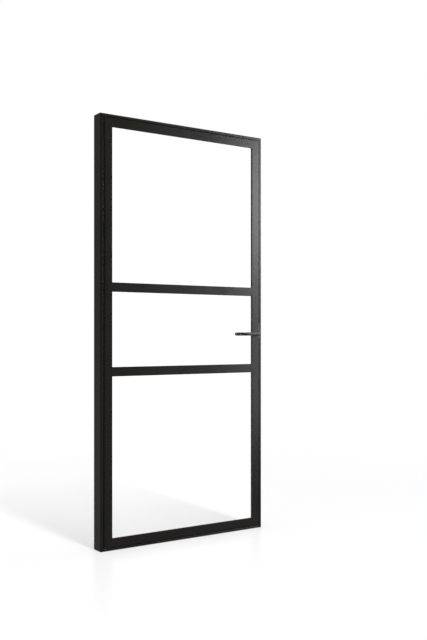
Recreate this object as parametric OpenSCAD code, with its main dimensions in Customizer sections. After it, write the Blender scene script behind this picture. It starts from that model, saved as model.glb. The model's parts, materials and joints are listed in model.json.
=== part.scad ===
// Glass door: a steel leaf with three panes, hung on two pivots in a slim steel frame.
// X runs across the door (pivots at -X, lock at +X), the front faces -Y, and Z is up.
// The origin is on the floor, in the middle of the leaf's width and depth. Millimetres.

/* [Frame] */
// Overall width of the frame
frame_w = 966; // [860:1:1100]
// Overall height of the frame
frame_h = 2115; // [2050:1:2400]
// Depth of the frame, front to back
frame_d = 78; // [66:1:90]
// Width of the frame's face, seen from the front
frame_face = 15; // [14:0.5:20]
// Radius of the frame's outer edges
frame_edge_r = 6; // [4:0.5:7]
// Wall thickness of the frame's tubes
frame_wall = 2; // [1.5:0.25:2.5]
// Height of the threshold
threshold_h = 10; // [9:0.5:14]
// Radius of the threshold's two upper edges
threshold_edge_r = 2; // [1:0.5:2.5]

/* [Leaf] */
// Gap between leaf and frame at the sides and the top
leaf_gap = 3; // [2.5:0.25:4]
// Gap between leaf and threshold
floor_gap = 4; // [3.5:0.25:6]
// Depth of the leaf
leaf_d = 32; // [32:1:40]
// Face width of the stile and rail tubes
tube_w = 30; // [30:1:36]
// Wall thickness of the leaf's tubes
tube_wall = 2; // [1.5:0.25:2.5]
// Face height of the glazing bars' tubes
bar_tube = 16; // [14:1:28]
// Height of the upper bar's middle above the floor
upper_bar_z = 1277; // [1200:1:1350]
// Height of the lower bar's middle above the floor
lower_bar_z = 866; // [780:1:920]
// Width of the flange that covers the glass edge
flange_w = 15; // [11:0.5:17]
// Thickness of that flange
flange_t = 3; // [2:0.5:4]

/* [Glass] */
// Thickness of the panes
glass_t = 8; // [6:1:10]
// Room between a pane's edge and the tubes
glass_clear = 3; // [2:0.5:4]
// Thickness of each gasket
gasket_t = 3; // [2:0.5:4]
// Face width of the beads behind the glass
bead_w = 7; // [6.5:0.5:9]
// Depth of the beads
bead_d = 9; // [8:0.5:11]
// Length of a setting block under a pane
block_l = 100; // [60:5:150]

/* [Pivots] */
// Distance of the pivot axis from the leaf's edge and from its front
pivot_inset = 8; // [7.5:0.25:9]
// Radius of the pivot pins
pin_r = 4; // [3:0.25:4.5]
// Radial clearance of a pin in its running bore
pin_fit = 0.05; // [0.02:0.01:0.1]
// Height of the blocks that hold the pivots in the hinge stile
pivot_block_h = 30; // [24:1:40]

/* [Lock] */
// Height of the spindle above the floor
lever_z = 1050; // [1000:1:1100]
// Distance of the spindle from the leaf's lock edge
backset = 18; // [17.5:0.25:18.5]
// Height of the lock case
case_h = 150; // [130:5:180]
// Thickness of the lock case
case_t = 14; // [13:0.5:16]
// How far the forend stands past the lock case at each end
forend_over = 10; // [9:0.5:16]
// Throw of the latch bolt
latch_throw = 10; // [8:0.5:10]
// Height of the latch bolt
latch_h = 18; // [16:1:22]

/* [Lever] */
// Radius of the round bar that the lever is bent from
bar_r = 9; // [7:0.25:9.5]
// Length from the spindle to the lever's tip
lever_l = 92; // [80:1:130]
// Distance of the grip's middle from the leaf
lever_out = 38; // [34:1:50]
// Bend radius of the lever's elbow
elbow_r = 12; // [10:0.5:16]
// Radius of the rose
rose_r = 12.5; // [11.5:0.25:12.5]
// Thickness of the rose
rose_t = 5; // [3:0.5:8]
// Side of the square spindle
spindle_w = 8; // [7:0.5:8]

/* [Fixings] */
// Radius of the anchor holes through the jambs
anchor_r = 4; // [3:0.5:5]
// Height of the lowest anchor hole, and depth of the highest below the top
anchor_end = 250; // [150:10:300]
// Distance between the two anchor holes of a pair
anchor_pitch = 540; // [400:10:600]
// Width of the stop behind the leaf on the lock jamb
lock_stop_w = 7; // [6:0.5:7]
// Height of the stop under the head
head_stop_h = 10; // [8:1:14]
// Depth of both stops
stop_d = 8; // [6:1:12]

/* [Hidden] */
$fn = 64;
black = "#232426";
metal = "#b9bcc0";
bronze = "#b08a52";
rubber = "#161617";
clear = [0.82, 0.92, 0.9, 0.35];

// small clearances
eps = 1;
touch = 0.1;
turn_fit = 0.06;
slide_fit = 0.12;
seal_clear = 0.3;
mitre_gap = 0.1;

// main planes of the frame and the leaf
front_y = -leaf_d / 2;
back_y = leaf_d / 2;
frame_back_y = front_y + frame_d;
jamb_x = frame_w / 2 - frame_face;
head_z = frame_h - frame_face;
leaf_x = jamb_x - leaf_gap;
leaf_z0 = threshold_h + floor_gap;
leaf_z1 = head_z - leaf_gap;
tube_x = leaf_x - tube_w;
open_z0 = leaf_z0 + tube_w;
open_z1 = leaf_z1 - tube_w;

// openings between the leaf's tubes, bottom and top of each
lower_pane = [open_z0, lower_bar_z - bar_tube / 2];
middle_pane = [lower_bar_z + bar_tube / 2, upper_bar_z - bar_tube / 2];
upper_pane = [upper_bar_z + bar_tube / 2, open_z1];
panes = [lower_pane, middle_pane, upper_pane];

// layers behind the flange
glass_y0 = front_y + flange_t + gasket_t;
glass_y1 = glass_y0 + glass_t;
bead_y0 = glass_y1 + gasket_t;
bead_y1 = bead_y0 + bead_d;
gasket_lip = 0.5;

// pivots
pivot_x = -leaf_x + pivot_inset;
pivot_y = front_y + pivot_inset;
collar_r = pin_r + 2;
collar_h = floor_gap / 2;
bush_r = pin_r + 1.5;
bush_fit = 0.15;
bush_lip_r = bush_r + 1;
bush_lip_h = 1;
pin_top_z = frame_h - frame_wall - 7;
bush_top_z = pin_top_z + 3;

// stops behind the leaf
stop_y0 = back_y + 3;
stop_x0 = pivot_x + 7;
lock_stop_x = jamb_x - lock_stop_w;

// lock
lever_x = leaf_x - backset;
forend_t = 3;
forend_h = case_h + 2 * forend_over;
forend_w = 20;
case_x1 = leaf_x - forend_t;
case_x0 = tube_x + tube_wall + 0.3;
case_back_t = 1.2;
case_wall = 1.5;
room_x0 = case_x0 + case_back_t;
room_y = case_t / 2 - case_wall;
tab_t = 3;
screw_z = forend_h / 2 - 5;
forend_screw_r = 1.6;
forend_head_r = 3.2;

// follower: its arm points 30 degrees towards the forend at rest and turns 45 degrees
hub_r = spindle_w / 2 + 3;
arm_r = 14;
arm_rest = 30;
arm_w = 3;
pad_r = 2;
pad_x = lever_x + arm_r * sin(arm_rest);

// latch bolt: a head, a bridge over the follower's pad and a hook behind it
latch_w = 10;
latch_z0 = lever_z + 10;
latch_z1 = latch_z0 + latch_h;
latch_x1 = leaf_x + latch_throw;
latch_x0 = pad_x + pad_r + 1;
hook_x1 = pad_x - pad_r - 0.3;
hook_x0 = hook_x1 - 2;
hook_z0 = lever_z + arm_r * cos(arm_rest) - 0.6;
bridge_z0 = lever_z + arm_r + pad_r + 1.5;
tail_w = 9;
spring_z = (bridge_z0 + latch_z1) / 2;
spring_hole_r = 2.7;
spring_x1 = leaf_x;
spring_turns = 12;
spring_r = 2;
wire_r = 0.35;

// strike
strike_t = leaf_gap / 2;
strike_w = 30;
strike_h = 80;
strike_z = (latch_z0 + latch_z1) / 2;
strike_room = 0.6;
strike_screw_z = strike_h / 2 - 9;
strike_screw_r = 1.5;
strike_head_r = 2.9;

// lever
grip_y = front_y - lever_out;
spindle_l = lever_out - elbow_r - 6;
grub_r = 2.5;
grub_y = front_y - rose_t - 4;
neck_gap = 0.5;

// anchors
anchor_y = frame_back_y - 15;
anchor_zs = [
    anchor_end,
    anchor_end + anchor_pitch,
    frame_h - anchor_end - anchor_pitch,
    frame_h - anchor_end
];

// Box between two opposite corners
module block(low, high) {
    translate(low) cube(high - low);
}

// Prism with an outline in X and Z, between two depths
module xz_prism(outline, y0, y1) {
    translate([0, y1, 0])
        rotate([90, 0, 0])
            linear_extrude(y1 - y0)
                polygon(outline);
}

// Cylinder along X, Y or Z from a start point
module rod_x(start, length, r) {
    translate(start) rotate([0, 90, 0]) cylinder(h = length, r = r);
}

module rod_y(start, length, r) {
    translate(start) rotate([-90, 0, 0]) cylinder(h = length, r = r);
}

module rod_z(start, length, r) {
    translate(start) cylinder(h = length, r = r);
}

// Countersunk screw along +X, its head flush at the start point
module screw_x(start, length, shank_r, head_r) {
    translate(start)
        rotate([0, 90, 0]) {
            cylinder(h = head_r - shank_r, r1 = head_r, r2 = shank_r);
            cylinder(h = length, r = shank_r);
        }
}

// Outline of a frame tube: two rounded edges on the wall side, at x = 0
module frame_outline(w, d, r) {
    translate([r, 0]) square([w - r, d]);
    translate([0, r]) square([w, d - 2 * r]);
    translate([r, r]) circle(r);
    translate([r, d - r]) circle(r);
}

// Section of a frame tube
module frame_section() {
    difference() {
        frame_outline(frame_face, frame_d, frame_edge_r);
        translate([frame_wall, frame_wall])
            frame_outline(
                frame_face - 2 * frame_wall,
                frame_d - 2 * frame_wall,
                frame_edge_r - frame_wall
            );
    }
}

// Jamb on the -X side, mitred at its top, with its anchor holes
module plain_jamb() {
    difference() {
        intersection() {
            translate([-frame_w / 2, front_y, 0])
                linear_extrude(frame_h)
                    frame_section();
            xz_prism(
                [
                    [-frame_w / 2, 0],
                    [-jamb_x, 0],
                    [-jamb_x, head_z],
                    [-frame_w / 2, frame_h]
                ],
                front_y,
                frame_back_y
            );
        }
        for (z = anchor_zs)
            rod_x([-frame_w / 2 - eps, anchor_y, z], frame_face + 2 * eps, anchor_r);
    }
}

module hinge_jamb() {
    color(black) plain_jamb();
}

module lock_jamb() {
    color(black)
        difference() {
            mirror([1, 0, 0]) plain_jamb();
            block(
                [jamb_x - eps, -latch_w / 2 - eps, latch_z0 - eps],
                [jamb_x + frame_wall + eps, latch_w / 2 + eps, latch_z1 + eps]
            );
            for (side = [-1, 1])
                rod_x(
                    [jamb_x - eps, 0, strike_z + side * strike_screw_z],
                    frame_wall + 2 * eps,
                    strike_screw_r
                );
        }
}

module frame_head() {
    color(black)
        difference() {
            intersection() {
                translate([-frame_w / 2, front_y, frame_h])
                    rotate([0, 90, 0])
                        linear_extrude(frame_w)
                            frame_section();
                xz_prism(
                    [
                        [-frame_w / 2, frame_h],
                        [-jamb_x, head_z],
                        [jamb_x, head_z],
                        [frame_w / 2, frame_h]
                    ],
                    front_y,
                    frame_back_y
                );
            }
            rod_z([pivot_x, pivot_y, head_z - eps], frame_wall + 2 * eps, bush_r + bush_fit);
        }
}

// Threshold tube between the jambs, with two rounded upper edges
module threshold() {
    color(black)
        difference() {
            translate([-jamb_x, front_y, threshold_h])
                rotate([0, 90, 0])
                    linear_extrude(2 * jamb_x)
                        difference() {
                            frame_outline(threshold_h, frame_d, threshold_edge_r);
                            translate([frame_wall, frame_wall])
                                square([threshold_h - 2 * frame_wall, frame_d - 2 * frame_wall]);
                        }
            rod_z(
                [pivot_x, pivot_y, threshold_h - frame_wall - eps],
                frame_wall + 2 * eps,
                pin_r
            );
        }
}

module head_stop() {
    color(black)
        block(
            [stop_x0, stop_y0, head_z - head_stop_h],
            [lock_stop_x, stop_y0 + stop_d, head_z]
        );
}

module lock_stop() {
    color(black)
        block(
            [lock_stop_x, stop_y0, threshold_h],
            [jamb_x, stop_y0 + stop_d, head_z]
        );
}

module head_seal() {
    color(rubber)
        block(
            [stop_x0, back_y + seal_clear, head_z - head_stop_h],
            [lock_stop_x, stop_y0, leaf_z1]
        );
}

module lock_seal() {
    color(rubber)
        block(
            [lock_stop_x, back_y + seal_clear, leaf_z0],
            [leaf_x, stop_y0, leaf_z1]
        );
}

// Plate on the lock jamb, with a hole for the latch bolt
module strike_plate() {
    color(metal)
        difference() {
            block(
                [jamb_x - strike_t, -strike_w / 2, strike_z - strike_h / 2],
                [jamb_x, strike_w / 2, strike_z + strike_h / 2]
            );
            block(
                [jamb_x - strike_t - eps, -latch_w / 2 - strike_room, latch_z0 - strike_room],
                [jamb_x + eps, latch_w / 2 + strike_room, latch_z1 + strike_room]
            );
            for (side = [-1, 1])
                screw_x(
                    [jamb_x - strike_t, 0, strike_z + side * strike_screw_z],
                    strike_t + eps,
                    strike_screw_r,
                    strike_head_r
                );
        }
}

module strike_screws() {
    color(metal)
        for (side = [-1, 1])
            screw_x(
                [jamb_x - strike_t, 0, strike_z + side * strike_screw_z],
                10,
                strike_screw_r,
                strike_head_r
            );
}

// Fixed pin that the leaf stands on, turned with a collar
module bottom_pivot_pin() {
    color(metal) {
        rod_z([pivot_x, pivot_y, frame_wall], leaf_z0 + pivot_block_h - 4 - frame_wall, pin_r);
        rod_z([pivot_x, pivot_y, threshold_h], collar_h, collar_r);
    }
}

module thrust_washer() {
    color(bronze)
        difference() {
            rod_z([pivot_x, pivot_y, threshold_h + collar_h], floor_gap - collar_h - touch, collar_r);
            rod_z([pivot_x, pivot_y, threshold_h], floor_gap + eps, pin_r + pin_fit);
        }
}

// Flanged bush in the head, closed at its top
module top_pivot_bush() {
    color(bronze)
        difference() {
            union() {
                rod_z([pivot_x, pivot_y, head_z], bush_top_z - head_z, bush_r);
                rod_z([pivot_x, pivot_y, head_z - bush_lip_h], bush_lip_h, bush_lip_r);
            }
            rod_z(
                [pivot_x, pivot_y, head_z - bush_lip_h - eps],
                pin_top_z + 1 - head_z + bush_lip_h + eps,
                pin_r + pin_fit
            );
        }
}

// Outline of the hinge stile, with its front outer edge rounded about the pivot axis
module stile_outline(w, d, r) {
    translate([r, 0]) square([w - r, d]);
    translate([0, r]) square([w, d - r]);
    translate([r, r]) circle(r);
}

// Front flange of the -X stile, in a length beside each pane
module stile_flanges() {
    for (pane = panes)
        block(
            [-tube_x - touch, front_y, pane[0]],
            [-tube_x + flange_w, front_y + flange_t, pane[1]]
        );
}

module hinge_stile() {
    color(black) {
        translate([-leaf_x, front_y, leaf_z0])
            linear_extrude(leaf_z1 - leaf_z0)
                difference() {
                    stile_outline(tube_w, leaf_d, pivot_inset);
                    translate([tube_wall, tube_wall])
                        stile_outline(
                            tube_w - 2 * tube_wall,
                            leaf_d - 2 * tube_wall,
                            pivot_inset - tube_wall
                        );
                }
        stile_flanges();
    }
}

// Lock stile: a tube with a slot for the forend, holes for the spindle and tabs for the screws
module lock_stile() {
    color(black)
        difference() {
            union() {
                difference() {
                    block([tube_x, front_y, leaf_z0], [leaf_x, back_y, leaf_z1]);
                    block(
                        [tube_x + tube_wall, front_y + tube_wall, leaf_z0 - eps],
                        [leaf_x - tube_wall, back_y - tube_wall, leaf_z1 + eps]
                    );
                }
                mirror([1, 0, 0]) stile_flanges();
                for (side = [0, 1])
                    translate([0, 0, 2 * lever_z * side])
                        mirror([0, 0, side])
                            block(
                                [case_x1 - tab_t, front_y + tube_wall - touch, lever_z + case_h / 2 + 1],
                                [case_x1, back_y - tube_wall + touch, lever_z + forend_h / 2 + 6]
                            );
            }
            block(
                [case_x1, -forend_w / 2 - touch, lever_z - forend_h / 2 - touch],
                [leaf_x + eps, forend_w / 2 + touch, lever_z + forend_h / 2 + touch]
            );
            rod_y([lever_x, front_y - eps, lever_z], leaf_d + 2 * eps, hub_r + 1);
            for (side = [-1, 1])
                rod_x(
                    [case_x1 - tab_t - eps, 0, lever_z + side * screw_z],
                    tab_t + 2 * eps,
                    forend_screw_r
                );
        }
}

// Tube between the stiles, from one height to another
module cross_tube(z0, z1) {
    difference() {
        block([-tube_x, front_y, z0], [tube_x, back_y, z1]);
        block(
            [-tube_x - eps, front_y + tube_wall, z0 + tube_wall],
            [tube_x + eps, back_y - tube_wall, z1 - tube_wall]
        );
    }
}

// Front flange along a cross tube, between the stiles' flanges
module cross_flange(z0, z1) {
    block(
        [-tube_x + flange_w, front_y, z0],
        [tube_x - flange_w, front_y + flange_t, z1]
    );
}

module top_rail() {
    color(black) {
        cross_tube(open_z1, leaf_z1);
        cross_flange(open_z1 - flange_w, open_z1 + touch);
    }
}

module bottom_rail() {
    color(black) {
        cross_tube(leaf_z0, open_z0);
        cross_flange(open_z0 - touch, open_z0 + flange_w);
    }
}

module glazing_bar(z) {
    color(black) {
        cross_tube(z - bar_tube / 2, z + bar_tube / 2);
        cross_flange(z - bar_tube / 2 - flange_w, z - bar_tube / 2 + touch);
        cross_flange(z + bar_tube / 2 - touch, z + bar_tube / 2 + flange_w);
    }
}

module upper_bar() {
    glazing_bar(upper_bar_z);
}

module lower_bar() {
    glazing_bar(lower_bar_z);
}

// Box that fills a pane's opening, less an inset on its four sides
module pane_block(pane, inset, y0, y1) {
    block(
        [-tube_x + inset, y0, pane[0] + inset],
        [tube_x - inset, y1, pane[1] - inset]
    );
}

// Rectangular ring in a pane's opening
module pane_ring(pane, outer, inner, y0, y1) {
    difference() {
        pane_block(pane, outer, y0, y1);
        pane_block(pane, inner, y0 - eps, y1 + eps);
    }
}

module glass(pane) {
    color(clear) pane_block(pane, glass_clear, glass_y0, glass_y1);
}

module upper_glass() {
    glass(upper_pane);
}

module middle_glass() {
    glass(middle_pane);
}

module lower_glass() {
    glass(lower_pane);
}

module front_gasket(pane) {
    color(rubber)
        pane_ring(pane, 1, flange_w - gasket_lip, front_y + flange_t, glass_y0);
}

module back_gasket(pane) {
    color(rubber)
        pane_ring(pane, 1, bead_w - gasket_lip, glass_y1, bead_y0);
}

module upper_front_gasket() {
    front_gasket(upper_pane);
}

module middle_front_gasket() {
    front_gasket(middle_pane);
}

module lower_front_gasket() {
    front_gasket(lower_pane);
}

module upper_back_gasket() {
    back_gasket(upper_pane);
}

module middle_back_gasket() {
    back_gasket(middle_pane);
}

module lower_back_gasket() {
    back_gasket(lower_pane);
}

// Four mitred bars round a pane
module beads(pane) {
    z_mid = (pane[0] + pane[1]) / 2;
    half_h = (pane[1] - pane[0]) / 2;
    color(black)
        for (side = [0, 1]) {
            mirror([side, 0, 0])
                xz_prism(
                    [
                        [-tube_x, pane[0] + mitre_gap],
                        [-tube_x + bead_w, pane[0] + bead_w + mitre_gap],
                        [-tube_x + bead_w, pane[1] - bead_w - mitre_gap],
                        [-tube_x, pane[1] - mitre_gap]
                    ],
                    bead_y0,
                    bead_y1
                );
            translate([0, 0, z_mid])
                mirror([0, 0, side])
                    xz_prism(
                        [
                            [-tube_x + mitre_gap, -half_h],
                            [tube_x - mitre_gap, -half_h],
                            [tube_x - bead_w - mitre_gap, -half_h + bead_w],
                            [-tube_x + bead_w + mitre_gap, -half_h + bead_w]
                        ],
                        bead_y0,
                        bead_y1
                    );
        }
}

module upper_beads() {
    beads(upper_pane);
}

module middle_beads() {
    beads(middle_pane);
}

module lower_beads() {
    beads(lower_pane);
}

// Two blocks under each pane, a quarter of the width from its ends
module setting_blocks() {
    color(rubber)
        for (pane = panes)
            for (side = [-1, 1])
                translate([side * tube_x / 2, 0, 0])
                    block(
                        [-block_l / 2, glass_y0, pane[0]],
                        [block_l / 2, glass_y1, pane[0] + glass_clear]
                    );
}

// Plug in the hinge stile's end, bored for a pivot pin
module pivot_block(z, bore_r) {
    difference() {
        translate([-leaf_x + tube_wall + touch, front_y + tube_wall + touch, z])
            linear_extrude(pivot_block_h)
                stile_outline(
                    tube_w - 2 * tube_wall - 2 * touch,
                    leaf_d - 2 * tube_wall - 2 * touch,
                    pivot_inset - tube_wall - touch
                );
        rod_z([pivot_x, pivot_y, z - eps], pivot_block_h + 2 * eps, bore_r);
    }
}

module top_pivot_block() {
    color(metal) pivot_block(leaf_z1 - pivot_block_h, pin_r);
}

module bottom_pivot_block() {
    color(metal) pivot_block(leaf_z0, pin_r + pin_fit);
}

module top_pivot_pin() {
    color(metal)
        rod_z(
            [pivot_x, pivot_y, leaf_z1 - pivot_block_h],
            pin_top_z - leaf_z1 + pivot_block_h,
            pin_r
        );
}

module lock_stile_caps() {
    color(rubber)
        for (z = [leaf_z0, leaf_z1 - 4])
            block(
                [tube_x + tube_wall + touch, front_y + tube_wall + touch, z],
                [leaf_x - tube_wall - touch, back_y - tube_wall - touch, z + 4]
            );
}

// Tray of the lock, open at the forend and under the cover
module lock_case() {
    color(metal)
        difference() {
            block(
                [case_x0, -case_t / 2, lever_z - case_h / 2],
                [case_x1, room_y, lever_z + case_h / 2]
            );
            block(
                [room_x0, -room_y, lever_z - case_h / 2 + case_wall],
                [case_x1 + eps, case_t / 2, lever_z + case_h / 2 - case_wall]
            );
            rod_y([lever_x, -case_t / 2 - eps, lever_z], case_t, hub_r + turn_fit);
        }
}

module lock_cover() {
    color(metal)
        difference() {
            block(
                [case_x0, room_y, lever_z - case_h / 2],
                [case_x1, case_t / 2, lever_z + case_h / 2]
            );
            rod_y([lever_x, 0, lever_z], case_t, hub_r + turn_fit);
        }
}

// Faceplate in the leaf's edge
module forend() {
    color(metal)
        difference() {
            block(
                [case_x1, -forend_w / 2, lever_z - forend_h / 2],
                [leaf_x, forend_w / 2, lever_z + forend_h / 2]
            );
            block(
                [case_x1 - eps, -latch_w / 2 - slide_fit, latch_z0 - slide_fit],
                [leaf_x + eps, latch_w / 2 + slide_fit, latch_z1 + slide_fit]
            );
            for (side = [-1, 1])
                translate([leaf_x, 0, lever_z + side * screw_z])
                    mirror([1, 0, 0])
                        screw_x([0, 0, 0], forend_t + eps, forend_screw_r, forend_head_r);
        }
}

module forend_screws() {
    color(metal)
        for (side = [-1, 1])
            translate([leaf_x, 0, lever_z + side * screw_z])
                mirror([1, 0, 0])
                    screw_x([0, 0, 0], forend_t + tab_t + 1, forend_screw_r, forend_head_r);
}

// Coil that pushes the latch bolt out: its section is the round wire cut square to the coil's axis
module latch_spring() {
    length = spring_x1 - room_x0;
    turn_per_mm = 360 * spring_turns / length;
    wire = [
        for (t = [0 : 36 : 324])
            let (r = spring_r + wire_r * cos(t), a = turn_per_mm * wire_r * sin(t))
                [r * cos(a), r * sin(a)]
    ];
    color(metal)
        translate([room_x0 + wire_r, 0, spring_z])
            rotate([0, 90, 0])
                linear_extrude(
                    height = length - 2 * wire_r,
                    twist = turn_per_mm * (length - 2 * wire_r),
                    slices = 12 * spring_turns,
                    segments = len(wire)
                )
                    polygon(wire);
}

// Ring round the lever's neck
module rose() {
    color(black)
        difference() {
            rod_y([lever_x, front_y - rose_t, lever_z], rose_t, rose_r);
            rod_y([lever_x, front_y - rose_t - eps, lever_z], rose_t + 2 * eps, bar_r + turn_fit);
        }
}

module front_rose() {
    rose();
}

module back_rose() {
    mirror([0, 1, 0]) rose();
}

// Square hole or bar along Y on the spindle's axis
module square_bar(y0, y1, side) {
    block(
        [lever_x - side / 2, y0, lever_z - side / 2],
        [lever_x + side / 2, y1, lever_z + side / 2]
    );
}

// Round bar bent from the spindle's axis to a grip towards the hinge side, with a domed tip
module lever() {
    color(black)
        difference() {
            union() {
                rod_y(
                    [lever_x, grip_y + elbow_r, lever_z],
                    front_y - neck_gap - grip_y - elbow_r,
                    bar_r
                );
                translate([lever_x - elbow_r, grip_y + elbow_r, lever_z])
                    rotate([0, 0, -90])
                        rotate_extrude(angle = 90)
                            translate([elbow_r, 0])
                                circle(bar_r);
                translate([lever_x - lever_l + bar_r, grip_y, lever_z]) {
                    rod_x([0, 0, 0], lever_l - bar_r - elbow_r, bar_r);
                    sphere(bar_r);
                }
            }
            square_bar(front_y - spindle_l - touch, front_y + eps, spindle_w + touch);
            rod_z([lever_x, grub_y, lever_z - bar_r - eps], bar_r + eps, grub_r);
        }
}

module front_lever() {
    lever();
}

module back_lever() {
    mirror([0, 1, 0]) lever();
}

module spindle() {
    color(metal) square_bar(front_y - spindle_l, back_y + spindle_l, spindle_w);
}

// Hub on the spindle, with the arm that draws the latch bolt
module follower() {
    color(metal)
        difference() {
            union() {
                rod_y([lever_x, -case_t / 2, lever_z], case_t, hub_r);
                translate([lever_x, 0, lever_z])
                    rotate([0, arm_rest, 0]) {
                        block([-arm_w / 2, -tail_w / 2, 0], [arm_w / 2, tail_w / 2, arm_r]);
                        rod_y([0, -tail_w / 2, arm_r], tail_w, pad_r);
                    }
            }
            square_bar(-case_t, case_t, spindle_w + touch);
        }
}

// One screw under each lever's neck, against the spindle
module grub_screws() {
    color(metal)
        for (side = [-1, 1])
            rod_z(
                [lever_x, side * grub_y, lever_z - bar_r + 0.5],
                bar_r - 0.5 - spindle_w / 2,
                grub_r
            );
}

// Bolt with its bevel on the back, where it meets the strike as the door closes
module latch_bolt() {
    color(metal)
        difference() {
            union() {
                translate([0, 0, latch_z0])
                    linear_extrude(latch_h)
                        polygon([
                            [latch_x0, -latch_w / 2],
                            [latch_x1, -latch_w / 2],
                            [latch_x1, -latch_w / 2 + 2],
                            [leaf_x + 1, latch_w / 2],
                            [latch_x0, latch_w / 2]
                        ]);
                block(
                    [hook_x0, -tail_w / 2, bridge_z0],
                    [latch_x0 + touch, tail_w / 2, latch_z1]
                );
                block(
                    [hook_x0, -tail_w / 2, hook_z0],
                    [hook_x1, tail_w / 2, latch_z1]
                );
            }
            rod_x([hook_x0 - eps, 0, spring_z], spring_x1 - hook_x0 + eps, spring_hole_r);
        }
}

hinge_jamb();
lock_jamb();
frame_head();
threshold();
head_stop();
lock_stop();
head_seal();
lock_seal();
strike_plate();
strike_screws();
bottom_pivot_pin();
thrust_washer();
top_pivot_bush();
hinge_stile();
lock_stile();
top_rail();
bottom_rail();
upper_bar();
lower_bar();
upper_glass();
middle_glass();
lower_glass();
upper_front_gasket();
middle_front_gasket();
lower_front_gasket();
upper_back_gasket();
middle_back_gasket();
lower_back_gasket();
upper_beads();
middle_beads();
lower_beads();
setting_blocks();
top_pivot_block();
bottom_pivot_block();
top_pivot_pin();
lock_stile_caps();
lock_case();
lock_cover();
forend();
forend_screws();
latch_spring();
front_rose();
back_rose();
front_lever();
back_lever();
spindle();
follower();
grub_screws();
latch_bolt();
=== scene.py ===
# %% [markdown]
# # A glass door in its slim steel frame
#
# The solids of this door are already built: frame, leaf, panes, lock and levers.
# This lesson gives them the finish of the real thing: rounded steel edges under a satin black
# coat, clear glass, rubber gaskets and small screws. Nothing is moved, because every solid is
# already in its place, in metres.

# %% Load the solids
import json
import math
import bmesh
import bpy
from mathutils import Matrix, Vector


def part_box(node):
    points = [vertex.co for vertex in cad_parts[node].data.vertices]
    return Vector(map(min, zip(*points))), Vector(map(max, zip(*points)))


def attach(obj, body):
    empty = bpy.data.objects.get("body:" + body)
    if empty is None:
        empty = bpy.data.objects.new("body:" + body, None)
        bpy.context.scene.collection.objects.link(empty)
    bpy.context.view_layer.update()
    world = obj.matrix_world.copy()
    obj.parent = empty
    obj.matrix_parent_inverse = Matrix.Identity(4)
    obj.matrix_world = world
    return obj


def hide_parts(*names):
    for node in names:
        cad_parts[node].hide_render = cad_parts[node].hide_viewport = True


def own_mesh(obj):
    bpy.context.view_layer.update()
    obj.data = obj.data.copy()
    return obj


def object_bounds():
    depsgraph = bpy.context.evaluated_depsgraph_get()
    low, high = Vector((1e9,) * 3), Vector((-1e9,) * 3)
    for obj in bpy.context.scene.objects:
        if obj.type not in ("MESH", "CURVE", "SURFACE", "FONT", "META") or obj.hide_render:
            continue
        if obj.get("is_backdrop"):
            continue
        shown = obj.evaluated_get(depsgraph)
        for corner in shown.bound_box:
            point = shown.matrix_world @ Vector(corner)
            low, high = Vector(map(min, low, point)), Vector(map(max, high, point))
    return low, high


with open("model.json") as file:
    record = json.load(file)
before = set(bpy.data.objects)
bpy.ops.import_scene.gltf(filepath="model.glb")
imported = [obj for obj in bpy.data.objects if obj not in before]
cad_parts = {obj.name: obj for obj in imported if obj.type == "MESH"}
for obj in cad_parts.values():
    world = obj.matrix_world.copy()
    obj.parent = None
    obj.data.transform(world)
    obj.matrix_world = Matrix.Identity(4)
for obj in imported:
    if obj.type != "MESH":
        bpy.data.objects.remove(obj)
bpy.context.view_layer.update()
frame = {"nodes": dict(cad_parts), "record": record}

record = frame["record"]
scene = bpy.context.scene
scene.view_settings.view_transform = "Standard"
MM = 0.001

# %% [markdown]
# ## The camera
#
# The door was photographed from the left, at half its height, with upright lines kept upright.
# A level camera does that: it isn't tilted, and a small vertical shift frames the door instead.
# The lens follows from the image, 427 by 640 pixels, where one metre at one metre is 845 pixels.

# %% Set up the camera
IMAGE_H = 640
FOCAL_PX = 845.2
HORIZON_PX = 335.38
SENSOR_MM = 36
CAMERA_PLACE = (-2.2909, -3.6926, 1.0425)
CAMERA_HEADING = math.radians(-33.79)
camera = bpy.data.objects.new("camera", bpy.data.cameras.new("camera"))
scene.collection.objects.link(camera)
scene.camera = camera
camera.location = CAMERA_PLACE
camera.rotation_euler = (math.radians(90), 0, CAMERA_HEADING)
camera.data.sensor_width = SENSOR_MM
camera.data.lens = FOCAL_PX / IMAGE_H * SENSOR_MM
camera.data.shift_y = (HORIZON_PX - IMAGE_H / 2) / IMAGE_H
print("lens", round(camera.data.lens, 2), "mm, shift", round(camera.data.shift_y, 4))

# %% [markdown]
# ## Helpers for finishes
#
# Paint colours are usually written as hex codes, which hold sRGB values, but shaders work with
# linear light. One function turns the first into the second. Another adds a node, sets its
# properties and fills its inputs with values or links, so that each finish below reads like a
# short recipe. The third starts a finish with an empty sheet.

# %% Colour and node helpers
def linear(code):
    """Linear colour of an sRGB hex code."""
    parts = [int(code[i:i + 2], 16) / 255 for i in (1, 3, 5)]
    return [p / 12.92 if p <= 0.04045 else ((p + 0.055) / 1.055) ** 2.4 for p in parts] + [1.0]


def add_node(tree, kind, inputs=None, **settings):
    """New node of a kind; its inputs take numbers, colours or other nodes' outputs."""
    node = tree.nodes.new(kind)
    for name, value in settings.items():
        setattr(node, name, value)
    for key, value in (inputs or {}).items():
        if isinstance(value, bpy.types.NodeSocket):
            tree.links.new(value, node.inputs[key])
        else:
            node.inputs[key].default_value = value
    return node


def new_finish(name):
    """Material without nodes, and its tree."""
    material = bpy.data.materials.new(name)
    material.use_nodes = True
    material.node_tree.nodes.clear()
    return material, material.node_tree


print("warm black #131110 is linear", [round(v, 4) for v in linear("#131110")[:3]])

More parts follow.
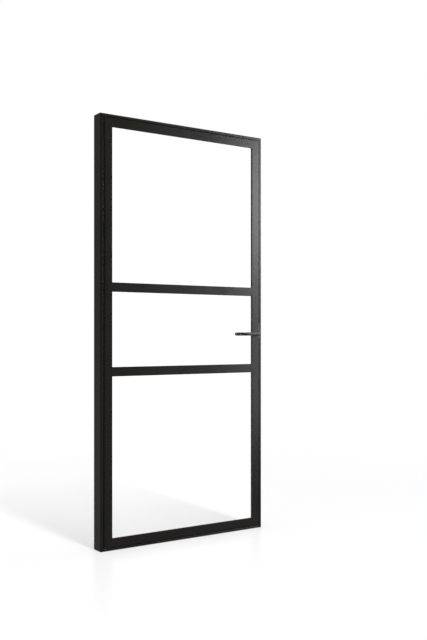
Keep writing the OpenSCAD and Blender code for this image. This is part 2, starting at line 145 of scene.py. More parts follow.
# %% [markdown]
# ## Satin black powder coat
#
# The frame and the leaf are steel, sprayed with dry polyester powder that melts in an oven.
# That leaves a tough skin with a soft sheen, a faint orange-peel waviness about 2 mm across and
# slow drifts in gloss where the coat is thicker. A plain dark colour would look like cut paper,
# so a noise at the real peel size bends the normal a little, and a slow one varies the gloss.
# Faces that look straight up hold a film of fine dust, which takes their gloss.

# %% Make the powder coat
PEEL_MM = 2.2
PEEL_DEPTH_MM = 0.03
DRIFT_MM = 140
# Most of a noise lies in this range.
NOISE_LOW = 0.3
NOISE_HIGH = 0.7
# Upward parts of the normals of faces 26 and 11 degrees off level, where the dust begins and is full.
DUST_FROM = 0.9
DUST_FULL = 0.98


def black_coat(name, colour, lighter, rough_from, rough_to, rough_on_top, peel):
    """Satin coat with a fine peel, a slow drift in gloss and tone, and its own gloss on top."""
    material, tree = new_finish(name)
    spot = add_node(tree, "ShaderNodeTexCoord").outputs
    place = spot["Object"]
    facing = add_node(tree, "ShaderNodeSeparateXYZ", {"Vector": spot["Normal"]})
    dust = add_node(tree, "ShaderNodeMapRange", {
        "Value": facing.outputs["Z"], "From Min": DUST_FROM, "From Max": DUST_FULL,
    })
    peel_noise = add_node(tree, "ShaderNodeTexNoise", {
        "Vector": place, "Scale": 1 / (PEEL_MM * MM), "Detail": 1.5, "Roughness": 0.45,
    })
    drift_noise = add_node(tree, "ShaderNodeTexNoise", {
        "Vector": place, "Scale": 1 / (DRIFT_MM * MM), "Detail": 3.0, "Roughness": 0.55,
    })
    gloss = add_node(tree, "ShaderNodeMapRange", {
        "Value": drift_noise.outputs["Fac"], "From Min": NOISE_LOW, "From Max": NOISE_HIGH,
        "To Min": rough_from, "To Max": rough_to,
    })
    tone = add_node(tree, "ShaderNodeMix", {
        "Factor": drift_noise.outputs["Fac"], "A": linear(colour), "B": linear(lighter),
    }, data_type="RGBA")
    wave = add_node(tree, "ShaderNodeBump", {
        "Strength": peel, "Distance": PEEL_DEPTH_MM * MM, "Height": peel_noise.outputs["Fac"],
    })
    satin = add_node(tree, "ShaderNodeMix", {
        "Factor": dust.outputs["Result"], "A": gloss.outputs["Result"], "B": rough_on_top,
    }, data_type="FLOAT")
    skin = add_node(tree, "ShaderNodeBsdfPrincipled", {
        "Base Color": tone.outputs["Result"], "Roughness": satin.outputs["Result"],
        "Normal": wave.outputs["Normal"], "IOR": 1.5,
    })
    add_node(tree, "ShaderNodeOutputMaterial", {"Surface": skin.outputs["BSDF"]})
    return material


finish = {}
finish["powder_coated_steel"] = black_coat(
    "satin_black_powder_coat", "#131110", "#181614",
    rough_from=0.25, rough_to=0.3, rough_on_top=0.7, peel=0.35,
)
finish["black_fittings"] = black_coat(
    "satin_black_lacquer", "#404144", "#46474a",
    rough_from=0.44, rough_to=0.5, rough_on_top=0.47, peel=0.15,
)
print("coats:", [m.name for m in finish.values()])

# %% [markdown]
# ## Clear float glass
#
# Float glass is poured on molten tin, so both faces are fire-polished and perfectly smooth. Seen
# straight through, 8 mm of it is almost colourless. The iron in it greens only the long way along
# an edge, and the rails hide the edges, so it has no tint. Clean glass also has a thin film of
# dust and wiping marks, which a slow noise in the gloss stands for. The index is set a little
# below that of bare glass, because the panes hardly mirror their surroundings.

# %% Make the glass
FILM_MM = 300
FILM_ROUGHEST = 0.02
glass, tree = new_finish("clear_float_glass")
place = add_node(tree, "ShaderNodeTexCoord").outputs["Object"]
film = add_node(tree, "ShaderNodeTexNoise", {
    "Vector": place, "Scale": 1 / (FILM_MM * MM), "Detail": 2,
})
polish = add_node(tree, "ShaderNodeMapRange", {
    "Value": film.outputs["Fac"], "To Min": 0.0, "To Max": FILM_ROUGHEST,
})
pane = add_node(tree, "ShaderNodeBsdfPrincipled", {
    "Base Color": linear("#ffffff"), "Roughness": polish.outputs["Result"],
    "IOR": 1.35, "Transmission Weight": 1.0,
})
add_node(tree, "ShaderNodeOutputMaterial", {"Surface": pane.outputs["BSDF"]})
finish["clear_glass"] = glass
print("glass:", glass.name)

# %% [markdown]
# ## Rubber, plastic and bare metals
#
# The gaskets and seals are extruded EPDM rubber: matt, finely grained, with a bloom that greys it
# slightly. The blocks and caps are moulded nylon with a fine spark-eroded grain. Lock case, pins
# and screws are zinc plated: a cloudy bluish metal. Forend, strike and latch are stainless steel,
# brushed lengthways, and the bushes are sintered bronze, dark with oil. All of them share one
# recipe: a noise, stretched for brushing, drives tone, gloss and a small bump.

# %% Write the grained recipe
GRAIN_DEPTH_MM = 0.05
ROUGH_SPREAD = 0.06


def grained(name, dark, light, rough, metallic, grain_mm, stretch, bump, coarse):
    """Finish whose tone, gloss and relief follow one grain of a real size."""
    material, tree = new_finish(name)
    place = add_node(tree, "ShaderNodeTexCoord").outputs["Object"]
    turned = add_node(tree, "ShaderNodeMapping", {"Vector": place, "Scale": stretch})
    grain = add_node(tree, "ShaderNodeTexNoise", {
        "Vector": turned.outputs["Vector"], "Scale": 1 / (grain_mm * coarse * MM),
        "Detail": 4.0, "Roughness": 0.6,
    })
    tone = add_node(tree, "ShaderNodeMix", {
        "Factor": grain.outputs["Fac"], "A": linear(dark), "B": linear(light),
    }, data_type="RGBA")
    gloss = add_node(tree, "ShaderNodeMapRange", {
        "Value": grain.outputs["Fac"], "From Min": NOISE_LOW, "From Max": NOISE_HIGH,
        "To Min": rough - ROUGH_SPREAD, "To Max": rough + ROUGH_SPREAD,
    })
    relief = add_node(tree, "ShaderNodeBump", {
        "Strength": bump, "Distance": GRAIN_DEPTH_MM * MM, "Height": grain.outputs["Fac"],
    })
    skin = add_node(tree, "ShaderNodeBsdfPrincipled", {
        "Base Color": tone.outputs["Result"], "Roughness": gloss.outputs["Result"],
        "Metallic": metallic, "Normal": relief.outputs["Normal"],
    })
    add_node(tree, "ShaderNodeOutputMaterial", {"Surface": skin.outputs["BSDF"]})
    return material


EVEN = (1, 1, 1)
UPRIGHT_BRUSH = (1, 1, 0.04)
TURNED_RINGS = (1, 1, 6)
print("grains are", GRAIN_DEPTH_MM, "mm deep at most")

# %% Make the rubber, the plastic and the metals
# The grains are 0.15 to 0.5 mm on the real pieces and are drawn coarser, so that they show.
finish["black_rubber"] = grained(
    "extruded_epdm_rubber", "#131314", "#1d1d1e",
    rough=0.62, metallic=0, grain_mm=0.5, stretch=EVEN, bump=0.25, coarse=3,
)
finish["black_plastic"] = grained(
    "moulded_black_nylon", "#171718", "#1f1f20",
    rough=0.5, metallic=0, grain_mm=0.3, stretch=EVEN, bump=0.3, coarse=3,
)
finish["plain_steel"] = grained(
    "zinc_plated_steel", "#a9adb2", "#c3c6ca",
    rough=0.36, metallic=1, grain_mm=0.5, stretch=EVEN, bump=0.1, coarse=6,
)
finish["satin_steel"] = grained(
    "brushed_stainless_steel", "#8f8f8e", "#b0afad",
    rough=0.34, metallic=1, grain_mm=0.15, stretch=UPRIGHT_BRUSH, bump=0.15, coarse=4,
)
finish["bearing_bronze"] = grained(
    "oiled_sintered_bronze", "#5f452a", "#755636",
    rough=0.42, metallic=1, grain_mm=0.2, stretch=TURNED_RINGS, bump=0.15, coarse=4,
)
print("finishes:", sorted(finish))

# %% [markdown]
# ## Every solid gets its finish
#
# The record says which finish each solid has, so one loop covers them all. The solids that stay
# as they are, such as the panes, gaskets and lock parts, are done with this step.

# %% Put the finishes on the solids
slot_of = {part["node"]: part["material_slot"] for part in record["subparts"]}
body_of = {n: body for body, nodes in record["behaviour"]["bodies"].items() for n in nodes}
for node, solid in frame["nodes"].items():
    if not solid.material_slots:
        solid.data.materials.append(None)
    for holder in solid.material_slots:
        holder.material = finish[slot_of[node]]
print("finished", len(slot_of), "solids")

# %% [markdown]
# ## Rounded steel edges
#
# Rolled tubes, bars and strips have no knife edges: a tube's corner is about as round as its wall
# is thick, and the coat rounds it further. Those small rounds catch the light as thin bright
# lines, and a model without them looks drawn rather than made. A Bevel modifier would round every
# edge, also where two tubes are welded and ground flush, and cut a groove there. So a copy of
# each solid is rounded in mesh code, only along the lengths that stay free. Weighted normals then
# keep the wide faces flat up to the rounding.

# %% Find the free edges
CORNER_ANGLE = 0.7
STRAIGHT = 0.999


def free_edges(shape, axes, longer_than):
    """Convex corners of a mesh that run along the named axes, or all of them."""
    chosen = []
    for edge in shape.edges:
        if len(edge.link_faces) != 2 or not edge.is_convex or edge.calc_face_angle() < CORNER_ANGLE:
            continue
        run = edge.verts[1].co - edge.verts[0].co
        along = [a for a in axes if abs(run["xyz".index(a)]) > STRAIGHT * run.length]
        if not axes or (along and run.length > longer_than):
            chosen.append(edge)
    return chosen


print("an edge is a corner from", round(math.degrees(CORNER_ANGLE)), "degrees on")

# %% Put a finished piece in the scene
def add_piece(name, mesh, slot, body):
    """Object for a mesh that is already in place, with its finish, on its body."""
    piece = bpy.data.objects.new(name, mesh)
    scene.collection.objects.link(piece)
    mesh.materials.clear()
    mesh.materials.append(finish[slot])
    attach(piece, body)
    return piece


print("pieces ride on", sorted(set(body_of.values())))

# %% Round a solid
MERGE_MM = 0.01
FLAT_ANGLE = 0.01
SMOOTH_ANGLE = math.radians(35)
ROUND_STEPS = 3


def rounded(node, radius, axes, longer_than):
    """Copy of a solid with its free edges rounded, in the solid's place."""
    shape = bmesh.new()
    shape.from_mesh(frame["nodes"][node].data)
    bmesh.ops.remove_doubles(shape, verts=shape.verts, dist=MERGE_MM * MM)
    bmesh.ops.dissolve_limit(shape, angle_limit=FLAT_ANGLE, verts=shape.verts, edges=shape.edges)
    edges = free_edges(shape, axes, longer_than) if radius else []
    if edges:
        bmesh.ops.bevel(
            shape, geom=edges, offset=radius, offset_type="OFFSET", segments=ROUND_STEPS,
            profile=0.5, affect="EDGES", clamp_overlap=True,
        )
    mesh = bpy.data.meshes.new(node + "_finished")
    shape.to_mesh(mesh)
    shape.free()
    if "custom_normal" in mesh.attributes:
        mesh.attributes.remove(mesh.attributes["custom_normal"])
    mesh.shade_smooth()
    mesh.set_sharp_from_angle(angle=SMOOTH_ANGLE)
    piece = add_piece(node + "_finished", mesh, slot_of[node], body_of[node])
    piece.modifiers.new("flat_faces", "WEIGHTED_NORMAL").keep_sharp = True
    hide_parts(node)
    return piece, len(edges)


print("faces are smooth up to", round(math.degrees(SMOOTH_ANGLE)), "degrees")

# %% [markdown]
# The table gives each solid its radius in millimetres, the directions of the edges to round, and
# the shortest edge that counts, in metres. Without a direction every corner is rounded. The round
# levers have no edge to round, and only get smooth faces.

# %% Round the free edges
ROUNDINGS = {
    "hinge_jamb": (1.0, "z", 0.3), "lock_jamb": (1.0, "z", 0.3), "frame_head": (1.0, "x", 0.3),
    "threshold": (0.4, "x", 0.3), "head_stop": (0.8, "x", 0.3), "lock_stop": (0.8, "z", 0.3),
    "head_seal": (0.9, "x", 0.3), "lock_seal": (0.9, "z", 0.3),
    "hinge_stile": (1.2, "z", 0.3), "lock_stile": (1.2, "z", 0.3),
    "top_rail": (1.2, "x", 0.3), "bottom_rail": (1.2, "x", 0.3),
    "upper_bar": (1.2, "x", 0.3), "lower_bar": (1.2, "x", 0.3),
    "upper_beads": (0.8, "xz", 0.1), "middle_beads": (0.8, "xz", 0.1),
    "lower_beads": (0.8, "xz", 0.1),
    "strike_plate": (0.3, "z", 0.05), "forend": (0.4, "z", 0.1), "latch_bolt": (0.4, "xz", 0.004),
    "front_rose": (0.8, "", 0), "back_rose": (0.8, "", 0),
    "front_lever": (0, "", 0), "back_lever": (0, "", 0),
}
for node, (radius_mm, axes, longer_than) in ROUNDINGS.items():
    piece, count = rounded(node, radius_mm * MM, axes, longer_than)
    print(node, "rounded on", count, "edges,", len(piece.data.polygons), "faces")

# %% [markdown]
# ## Screws
#
# Small socket screws hold the beads every 220 mm or so, two hold the forend, two the strike, and
# one grub screw clamps each lever. They repeat along straight lines, which is work for Geometry
# Nodes: the lines are edges of a helper mesh, each end of a line says where its screws face, and
# the tree spaces one screw along every line. One screw is turned in mesh code, with a hexagon
# socket that is a real hole, because a painted one would stay flat in low light.

# %% Turn one screw
SCREW_SIDES = 24
HEAD_CHAMFER = 0.15 * MM
HEAD_RIM = 0.1 * MM
SOCKET_SIDES = 6
SOCKET_DEPTH = 0.8


def turned_screw(name, head_r, shank_r, length, crown, socket_r):
    """Screw along +Z with its rim at the origin, a crowned head and a hexagon socket."""
    shape = bmesh.new()

    def ring(r, z, sides):
        steps = [2 * math.pi * i / sides for i in range(sides)]
        return [shape.verts.new((r * math.cos(t), r * math.sin(t), z)) for t in steps]

    def wall(upper, lower):
        for i in range(len(upper)):
            j = (i + 1) % len(upper)
            shape.faces.new((upper[i], lower[i], lower[j], upper[j]))

    flat = head_r - max(crown, HEAD_CHAMFER)
    rings = [ring(flat, crown, SCREW_SIDES), ring(head_r, 0, SCREW_SIDES)]
    rings.append(ring(shank_r, shank_r - head_r - HEAD_RIM, SCREW_SIDES))
    rings.append(ring(shank_r, -length, SCREW_SIDES))
    for upper, lower in zip(rings, rings[1:]):
        wall(upper, lower)
    shape.faces.new(reversed(rings[-1]))
    mouth = ring(socket_r, crown, SOCKET_SIDES)
    bottom = ring(socket_r, crown - SOCKET_DEPTH * socket_r, SOCKET_SIDES)
    wall(bottom, mouth)
    shape.faces.new(bottom)
    outline = []
    for loop in (rings[0], mouth):
        for i in range(len(loop)):
            pair = (loop[i], loop[(i + 1) % len(loop)])
            outline.append(shape.edges.get(pair) or shape.edges.new(pair))
    bmesh.ops.triangle_fill(shape, use_beauty=True, edges=outline, normal=(0, 0, 1))
    bmesh.ops.recalc_face_normals(shape, faces=shape.faces)
    mesh = bpy.data.meshes.new(name)
    shape.to_mesh(mesh)
    shape.free()
    screw = bpy.data.objects.new(name, mesh)
    scene.collection.objects.link(screw)
    return screw


bead_screw = turned_screw(
    "bead_screw", head_r=2.6 * MM, shank_r=1.5 * MM, length=7 * MM, crown=0.5 * MM, socket_r=1.1 * MM
)
print("one screw:", len(bead_screw.data.polygons), "faces")

# %% [markdown]
# The tree has named inputs for what differs between rows of screws: their spacing, the screw and
# its finish. Resampling a line by length keeps a screw at both of its ends.

# %% Build the tree that sets screws along lines
screw_tree = bpy.data.node_groups.new("screws_along_lines", "GeometryNodeTree")
sockets = {}
for title, kind in (
    ("Lines", "NodeSocketGeometry"), ("Spacing", "NodeSocketFloat"),
    ("Screw", "NodeSocketObject"), ("Finish", "NodeSocketMaterial"),
):
    made = screw_tree.interface.new_socket(title, in_out="INPUT", socket_type=kind)
    sockets[title] = made.identifier
screw_tree.interface.new_socket("Screws", in_out="OUTPUT", socket_type="NodeSocketGeometry")
given = add_node(screw_tree, "NodeGroupInput").outputs
paths = add_node(screw_tree, "GeometryNodeMeshToCurve", {"Mesh": given["Lines"]})
stops = add_node(screw_tree, "GeometryNodeResampleCurve", {
    "Curve": paths.outputs["Curve"], "Length": given["Spacing"],
}, mode="LENGTH")
facing = add_node(
    screw_tree, "GeometryNodeInputNamedAttribute", {"Name": "facing"}, data_type="FLOAT_VECTOR"
)
aimed = add_node(screw_tree, "FunctionNodeAlignRotationToVector", {
    "Vector": facing.outputs["Attribute"],
}, axis="Z")
one = add_node(screw_tree, "GeometryNodeObjectInfo", {"Object": given["Screw"]})
spread = add_node(screw_tree, "GeometryNodeInstanceOnPoints", {
    "Points": stops.outputs["Curve"], "Instance": one.outputs["Geometry"],
    "Rotation": aimed.outputs["Rotation"],
})
solid = add_node(screw_tree, "GeometryNodeRealizeInstances", {"Geometry": spread.outputs[0]})
coated = add_node(screw_tree, "GeometryNodeSetMaterial", {
    "Geometry": solid.outputs[0], "Material": given["Finish"],
})
add_node(screw_tree, "NodeGroupOutput", {"Screws": coated.outputs[0]})
print("tree inputs:", sorted(sockets))

# %% [markdown]
# A row is a helper object with that tree on it. Its evaluated result is copied to a plain mesh,
# and the helper goes, so that only simple meshes are left in the model.

# %% Set rows of screws
def screw_rows(name, lines, spacing, screw, slot, body):
    """Screws along lines; each line is its start, its end and where its screws face."""
    helper_mesh = bpy.data.meshes.new(name + "_lines")
    points = [p for start, end, _ in lines for p in (start, end)]
    helper_mesh.from_pydata(points, [(2 * i, 2 * i + 1) for i in range(len(lines))], [])
    ways = helper_mesh.attributes.new("facing", "FLOAT_VECTOR", "POINT")
    for i, (_, _, way) in enumerate(lines):
        ways.data[2 * i].vector = way
        ways.data[2 * i + 1].vector = way
    helper = bpy.data.objects.new(name + "_lines", helper_mesh)
    scene.collection.objects.link(helper)
    rows = helper.modifiers.new("screws", "NODES")
    rows.node_group = screw_tree
    rows[sockets["Spacing"]] = spacing
    rows[sockets["Screw"]] = screw
    rows[sockets["Finish"]] = finish[slot]
    graph = bpy.context.evaluated_depsgraph_get()
    mesh = bpy.data.meshes.new_from_object(helper.evaluated_get(graph))
    mesh.name = name
    bpy.data.objects.remove(helper)
    return add_piece(name, mesh, slot, body)


print("rows take", len(sockets) - 1, "settings each")

# %% Screw down the beads
BEAD_W = 7 * MM
ROW_END = 60 * MM
SCREW_SPACING = 220 * MM


def bead_lines(node):
    """Middle lines of the four beads of a pane, on the faces towards its middle."""
    low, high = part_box(node)
    y = (low.y + high.y) / 2
    x0 = low.x + BEAD_W
    x1 = high.x - BEAD_W
    z0 = low.z + BEAD_W
    z1 = high.z - BEAD_W
    return [
        ((x0, y, z0 + ROW_END), (x0, y, z1 - ROW_END), (1, 0, 0)),
        ((x1, y, z0 + ROW_END), (x1, y, z1 - ROW_END), (-1, 0, 0)),
        ((x0 + ROW_END, y, z0), (x1 - ROW_END, y, z0), (0, 0, 1)),
        ((x0 + ROW_END, y, z1), (x1 - ROW_END, y, z1), (0, 0, -1)),
    ]


lines = bead_lines("upper_beads") + bead_lines("middle_beads") + bead_lines("lower_beads")
row = screw_rows("bead_screws", lines, SCREW_SPACING, bead_screw, "black_fittings", "leaf")
bpy.data.objects.remove(bead_screw)
print("bead screws:", len(row.data.polygons), "faces on", len(lines), "beads")

# %% [markdown]
# The screws of the forend and the strike sit flush in their countersinks, and the grub screws sit
# under the levers' necks. They replace the plain solids that hold their places. A row that is
# shorter than its spacing gets a screw at each end and none between. The table names the solids,
# the axis along which their two screws lie and the way the heads face, and then gives the radius
# of head and shank, the length and the radius of the socket in millimetres.

# %% Set the lock's screws
ENDS_ONLY = 1.0


def lock_screws(node, axis, way, head_r, shank_r, length, socket_r):
    """Two screws in place of a node's plain ones, with their heads on its outer face."""
    low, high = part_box(node)
    face = [i for i in range(3) if way[i]][0]
    ends = []
    for side in (-1, 1):
        point = (low + high) / 2
        point[face] = high[face] if way[face] > 0 else low[face]
        point[axis] += side * ((high - low)[axis] / 2 - head_r)
        ends.append(point)
    screw = turned_screw(node + "_screw", head_r, shank_r, length, 0, socket_r)
    lines = [(ends[0], ends[1], way)]
    row = screw_rows(node + "_finished", lines, ENDS_ONLY, screw, slot_of[node], body_of[node])
    bpy.data.objects.remove(screw)
    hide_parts(node)


for node, axis, way, head_r, shank_r, length, socket_r in (
    ("forend_screws", 2, (1, 0, 0), 3.2, 1.6, 7, 1.3),
    ("strike_screws", 2, (-1, 0, 0), 2.9, 1.5, 10, 1.2),
    ("grub_screws", 1, (0, 0, -1), 2.5, 2.4, 3.4, 1.3),
):
    lock_screws(node, axis, way, head_r * MM, shank_r * MM, length * MM, socket_r * MM)
    low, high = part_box(node)
    print(node, "at", [round(v, 4) for v in low], "to", [round(v, 4) for v in high])

# %% [markdown]
# ## The latch spring
#
# A coil of thin wire lies in the latch bolt's bore and is pressed together when the lever draws
# the bolt. A coil follows a rule, a radius carried round and along an axis, so a second tree
# winds it: a spiral line, a round section along that line, and a turn that lays it along the
# bore.

# %% Build the tree that winds a coil
STEPS_PER_TURN = 24
WIRE_SIDES = 10
coil_tree = bpy.data.node_groups.new("wound_coil", "GeometryNodeTree")
coil_sockets = {}
for title, kind in (
    ("Turns", "NodeSocketFloat"), ("Radius", "NodeSocketFloat"), ("Length", "NodeSocketFloat"),
    ("Wire Radius", "NodeSocketFloat"), ("Start", "NodeSocketVector"),
    ("Finish", "NodeSocketMaterial"),
):
    made = coil_tree.interface.new_socket(title, in_out="INPUT", socket_type=kind)
    coil_sockets[title] = made.identifier
coil_tree.interface.new_socket("Coil", in_out="OUTPUT", socket_type="NodeSocketGeometry")
given = add_node(coil_tree, "NodeGroupInput").outputs
line = add_node(coil_tree, "GeometryNodeCurveSpiral", {
    "Resolution": STEPS_PER_TURN, "Rotations": given["Turns"], "Start Radius": given["Radius"],
    "End Radius": given["Radius"], "Height": given["Length"],
})
section = add_node(coil_tree, "GeometryNodeCurvePrimitiveCircle", {
    "Resolution": WIRE_SIDES, "Radius": given["Wire Radius"],
})
wire = add_node(coil_tree, "GeometryNodeCurveToMesh", {
    "Curve": line.outputs["Curve"], "Profile Curve": section.outputs["Curve"], "Fill Caps": True,
})
laid = add_node(coil_tree, "GeometryNodeTransform", {
    "Geometry": wire.outputs["Mesh"], "Translation": given["Start"],
    "Rotation": (0, math.radians(90), 0),
})
solid = add_node(coil_tree, "GeometryNodeRealizeInstances", {"Geometry": laid.outputs[0]})
coated = add_node(coil_tree, "GeometryNodeSetMaterial", {
    "Geometry": solid.outputs[0], "Material": given["Finish"],
})
add_node(coil_tree, "NodeGroupOutput", {"Coil": coated.outputs[0]})
print("tree inputs:", sorted(coil_sockets))

# %% Wind the latch spring
COIL_TURNS = 12.0
WIRE_R = 0.35 * MM
low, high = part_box("latch_spring")
helper = bpy.data.objects.new("latch_spring_helper", bpy.data.meshes.new("latch_spring_helper"))
scene.collection.objects.link(helper)
winding = helper.modifiers.new("winding", "NODES")
winding.node_group = coil_tree
winding[coil_sockets["Turns"]] = COIL_TURNS
winding[coil_sockets["Radius"]] = (high.y - low.y) / 2 - WIRE_R
winding[coil_sockets["Length"]] = high.x - low.x - 2 * WIRE_R
winding[coil_sockets["Wire Radius"]] = WIRE_R
winding[coil_sockets["Start"]] = (low.x + WIRE_R, (low.y + high.y) / 2, (low.z + high.z) / 2)
winding[coil_sockets["Finish"]] = finish[slot_of["latch_spring"]]
graph = bpy.context.evaluated_depsgraph_get()
coil_mesh = bpy.data.meshes.new_from_object(helper.evaluated_get(graph))
bpy.data.objects.remove(helper)
shape = bmesh.new()
shape.from_mesh(coil_mesh)
bmesh.ops.recalc_face_normals(shape, faces=shape.faces)
shape.to_mesh(coil_mesh)
shape.free()
coil_mesh.shade_smooth()
coil = add_piece("latch_spring_finished", coil_mesh, slot_of["latch_spring"], body_of["latch_spring"])
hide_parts("latch_spring")
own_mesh(coil)

# %% [markdown]
# ## Floor, light and surroundings
#
# The door stands on a white floor that runs into a white surround. It is one wide face, a hair
# below the door's foot, and all the rest is in its paint.

# %% Lay the floor
FLOOR_HALF = 30
FLOOR_DROP = 0.2 * MM
corners = [(x * FLOOR_HALF, y * FLOOR_HALF, 0) for x, y in ((-1, -1), (1, -1), (1, 1), (-1, 1))]
floor_mesh = bpy.data.meshes.new("floor")
floor_mesh.from_pydata(corners, [], [(0, 1, 2, 3)])
floor = bpy.data.objects.new("floor", floor_mesh)
scene.collection.objects.link(floor)
floor.location.z = -FLOOR_DROP
floor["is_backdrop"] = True
print("floor is", 2 * FLOOR_HALF, "m wide")

# %% [markdown]
# Near the door the paint takes the shadow, and a faint polish mirrors the foot of the frame. Seen
# by the camera or through glass it also glows a little, so that it is white around the shadow. Two
# faces of a pane turn some light back, so the floor and the surround are that much brighter through
# the glass, and the panes stay as white as the room.

# %% Paint the floor near the door
FLOOR_LIFT = 0.48
FLOOR_GLEAM = 0.1
GLEAM_REACH = 1.2
PANE_LOSS = 0.065
paint, tree = new_finish("white_studio_floor")
matt = add_node(tree, "ShaderNodeBsdfPrincipled", {
    "Base Color": linear("#acacac"), "Roughness": 0.6, "Specular IOR Level": 0.0,
})
rays = add_node(tree, "ShaderNodeLightPath").outputs
place = add_node(tree, "ShaderNodeTexCoord").outputs["Object"]
depth = add_node(tree, "ShaderNodeSeparateXYZ", {"Vector": place})
direct = add_node(tree, "ShaderNodeMath", {
    0: rays["Is Camera Ray"], 1: rays["Is Transmission Ray"],
}, operation="ADD", use_clamp=True)
through = add_node(tree, "ShaderNodeMath", {
    0: rays["Is Transmission Ray"], 1: PANE_LOSS,
}, operation="MULTIPLY")
lift = add_node(tree, "ShaderNodeMath", {
    0: direct.outputs[0], 1: FLOOR_LIFT, 2: through.outputs[0],
}, operation="MULTIPLY_ADD")
glow = add_node(tree, "ShaderNodeEmission", {
    "Color": linear("#ffffff"), "Strength": lift.outputs[0],
})
lit = add_node(tree, "ShaderNodeAddShader", {0: matt.outputs["BSDF"], 1: glow.outputs["Emission"]})
gleam = add_node(tree, "ShaderNodeBsdfGlossy", {"Color": linear("#ffffff"), "Roughness": 0.17})
off_plane = add_node(tree, "ShaderNodeMath", {0: depth.outputs["Y"]}, operation="ABSOLUTE")
sheen = add_node(tree, "ShaderNodeMapRange", {
    "Value": off_plane.outputs[0], "From Max": GLEAM_REACH, "To Min": FLOOR_GLEAM, "To Max": 0.0,
})
near = add_node(tree, "ShaderNodeMixShader", {
    0: sheen.outputs["Result"], 1: lit.outputs["Shader"], 2: gleam.outputs["BSDF"],
})
print("the polish ends", GLEAM_REACH, "m from the door")

# %% [markdown]
# Further out the floor fades to plain white, so that no horizon shows. Mirrored in the black coat
# it is dim, and a little less so behind the door.

# %% Fade the floor out
FADE_FROM = 1.7
FADE_TO = 3.6
MIRROR_FROM = -0.1
MIRROR_TO = 0.8
MIRROR_FRONT = 0.21
MIRROR_BACK = 0.25
far_away = add_node(tree, "ShaderNodeVectorMath", {0: place}, operation="LENGTH")
fade = add_node(tree, "ShaderNodeMapRange", {
    "Value": far_away.outputs["Value"], "From Min": FADE_FROM, "From Max": FADE_TO,
})
bright = add_node(tree, "ShaderNodeMath", {
    0: direct.outputs[0], 1: through.outputs[0],
}, operation="ADD")
white = add_node(tree, "ShaderNodeEmission", {
    "Color": linear("#ffffff"), "Strength": bright.outputs[0],
})
shown = add_node(tree, "ShaderNodeMixShader", {
    0: fade.outputs["Result"], 1: near.outputs["Shader"], 2: white.outputs["Emission"],
})
mirrored = add_node(tree, "ShaderNodeMapRange", {
    "Value": depth.outputs["Y"], "From Min": MIRROR_FROM, "From Max": MIRROR_TO,
    "To Min": MIRROR_FRONT, "To Max": MIRROR_BACK,
})
image = add_node(tree, "ShaderNodeEmission", {
    "Color": linear("#ffffff"), "Strength": mirrored.outputs["Result"],
})
bounced = add_node(tree, "ShaderNodeMath", {
    0: rays["Is Glossy Ray"], 1: direct.outputs[0],
}, operation="SUBTRACT", use_clamp=True)
surface = add_node(tree, "ShaderNodeMixShader", {
    0: bounced.outputs[0], 1: shown.outputs["Shader"], 2: image.outputs["Emission"],
})
add_node(tree, "ShaderNodeOutputMaterial", {"Surface": surface.outputs["Shader"]})
floor_mesh.materials.append(paint)
print("the floor is plain white from", FADE_TO, "m on")

# %% [markdown]
# A large lamp above the front throws a soft short shadow straight back. The coat doesn't mirror it,
# or its tops would glare. At the right a softbox and a tall strip are what the coat mirrors as a
# broad soft gleam, and one more softbox at the back shows the other side. These three side lamps
# are flagged off the floor, so that it stays evenly white around the one shadow, and they don't
# show through the glass.

# %% Hang the lamps
def softbox(name, place, target, width, height, radiance):
    """Rectangular lamp of an even radiance, turned to a target."""
    lamp = bpy.data.lights.new(name, "AREA")
    lamp.shape = "RECTANGLE"
    lamp.size = width
    lamp.size_y = height
    lamp.energy = radiance * width * height * math.pi
    holder = bpy.data.objects.new(name, lamp)
    scene.collection.objects.link(holder)
    holder.location = place
    holder.rotation_mode = "QUATERNION"
    way = Vector(target) - Vector(place)
    holder.rotation_quaternion = way.to_track_quat("-Z", "Y")
    return holder


key = softbox(
    "front_top_lamp", (0.0, -6.7, 18.5), (0.0, 0.8, 0.0), width=1.2, height=16.2, radiance=54.0
)
key.visible_glossy = False
side_lamps = [
    softbox(
        "right_softbox", (3.35, -2.8, 2.45), (0.475, 0.0, 1.8), width=1.0, height=1.45, radiance=11.5
    ),
    softbox(
        "right_strip", (3.45, -2.9, 1.5), (0.475, 0.0, 1.4), width=1.2, height=3.4, radiance=3.4
    ),
    softbox(
        "back_softbox", (2.9, 3.3, 2.2), (0.0, 0.0, 1.2), width=1.2, height=2.0, radiance=6.0
    ),
]
flagged = bpy.data.collections.new("flagged_from_side_lamps")
flagged.objects.link(floor)
flagged.collection_objects[0].light_linking.link_state = "EXCLUDE"
for lamp in side_lamps:
    lamp.light_linking.receiver_collection = flagged
    lamp.visible_transmission = False

# %% [markdown]
# The surround is white to the camera and through the glass. In reflections its ceiling is white,
# and so is the backdrop behind the door, from a little above the floor. The walls are dim, as
# between a studio's dark flags, because a black coat shows whatever stands around it. As a light
# on matt faces the surround counts for a little over half of white.

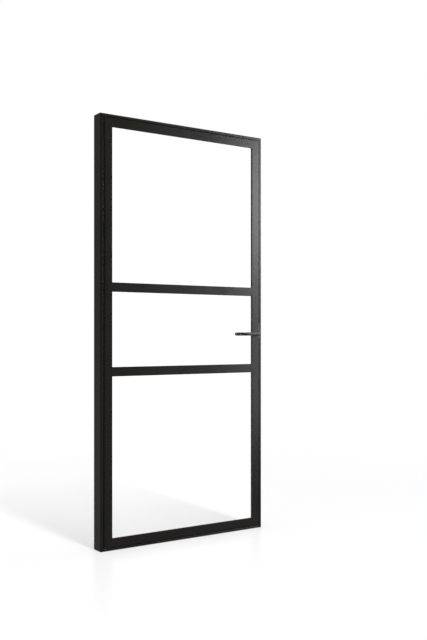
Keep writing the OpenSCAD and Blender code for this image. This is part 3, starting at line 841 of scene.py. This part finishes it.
# %% Paint the surround as the coat mirrors it
# Directions have length 1. The backdrop's edges are cosines off its way, its foot and the ceiling's
# edges are heights, and the walls go by the part of a direction that points back.
BACKDROP_WAY = (0.556, 0.831, 0.0)
BACKDROP_EDGE = 0.82
BACKDROP_FULL = 0.92
BACKDROP_FOOT = 0.1
BACKDROP_CLEAR = 0.18
CEILING_EDGE = 0.3
CEILING_FULL = 0.75
WALLS_FROM = -0.15
WALLS_TO = 0.4
WALL_FRONT = 0.055
WALL_BACK = 0.19
world = bpy.data.worlds.new("white_surround")
scene.world = world
world.use_nodes = True
tree = world.node_tree
tree.nodes.clear()
rays = add_node(tree, "ShaderNodeLightPath").outputs
way = add_node(tree, "ShaderNodeTexCoord").outputs["Generated"]
parts = add_node(tree, "ShaderNodeSeparateXYZ", {"Vector": way})
walls = add_node(tree, "ShaderNodeMapRange", {
    "Value": parts.outputs["Y"], "From Min": WALLS_FROM, "From Max": WALLS_TO,
    "To Min": WALL_FRONT, "To Max": WALL_BACK,
})
ceiling = add_node(tree, "ShaderNodeMapRange", {
    "Value": parts.outputs["Z"], "From Min": CEILING_EDGE, "From Max": CEILING_FULL,
})
behind = add_node(tree, "ShaderNodeVectorMath", {0: way, 1: BACKDROP_WAY}, operation="DOT_PRODUCT")
backdrop = add_node(tree, "ShaderNodeMapRange", {
    "Value": behind.outputs["Value"], "From Min": BACKDROP_EDGE, "From Max": BACKDROP_FULL,
})
raised = add_node(tree, "ShaderNodeMapRange", {
    "Value": parts.outputs["Z"], "From Min": BACKDROP_FOOT, "From Max": BACKDROP_CLEAR,
    "To Max": backdrop.outputs["Result"],
})
pale = add_node(tree, "ShaderNodeMath", {
    0: ceiling.outputs["Result"], 1: raised.outputs["Result"],
}, operation="MAXIMUM")
studio = add_node(tree, "ShaderNodeMix", {
    "Factor": pale.outputs[0], "A": walls.outputs["Result"], "B": 1.0,
}, data_type="FLOAT")
print("mirrored walls go from", WALL_FRONT, "to", WALL_BACK, "of white")

# %% Fill the surround
FILL_LIGHT = 0.55
seen = add_node(tree, "ShaderNodeMath", {
    0: rays["Is Camera Ray"], 1: rays["Is Transmission Ray"],
}, operation="ADD", use_clamp=True)
plain = add_node(tree, "ShaderNodeMix", {
    "Factor": rays["Is Glossy Ray"], "A": FILL_LIGHT, "B": studio.outputs["Result"],
}, data_type="FLOAT")
bright = add_node(tree, "ShaderNodeMath", {
    0: rays["Is Transmission Ray"], 1: PANE_LOSS, 2: 1.0,
}, operation="MULTIPLY_ADD")
level = add_node(tree, "ShaderNodeMix", {
    "Factor": seen.outputs[0], "A": plain.outputs["Result"], "B": bright.outputs[0],
}, data_type="FLOAT")
glow = add_node(tree, "ShaderNodeBackground", {
    "Color": linear("#ffffff"), "Strength": level.outputs["Result"],
})
add_node(tree, "ShaderNodeOutputWorld", {"Surface": glow.outputs["Background"]})
print("surround:", world.name)

# %% [markdown]
# ## Check the size and finish
# The dressed door has to keep the size of its solids, so its box is printed at the end.

# %% Print the size of the dressed door
low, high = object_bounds()
print("dressed", [round(v, 4) for v in low], [round(v, 4) for v in high])
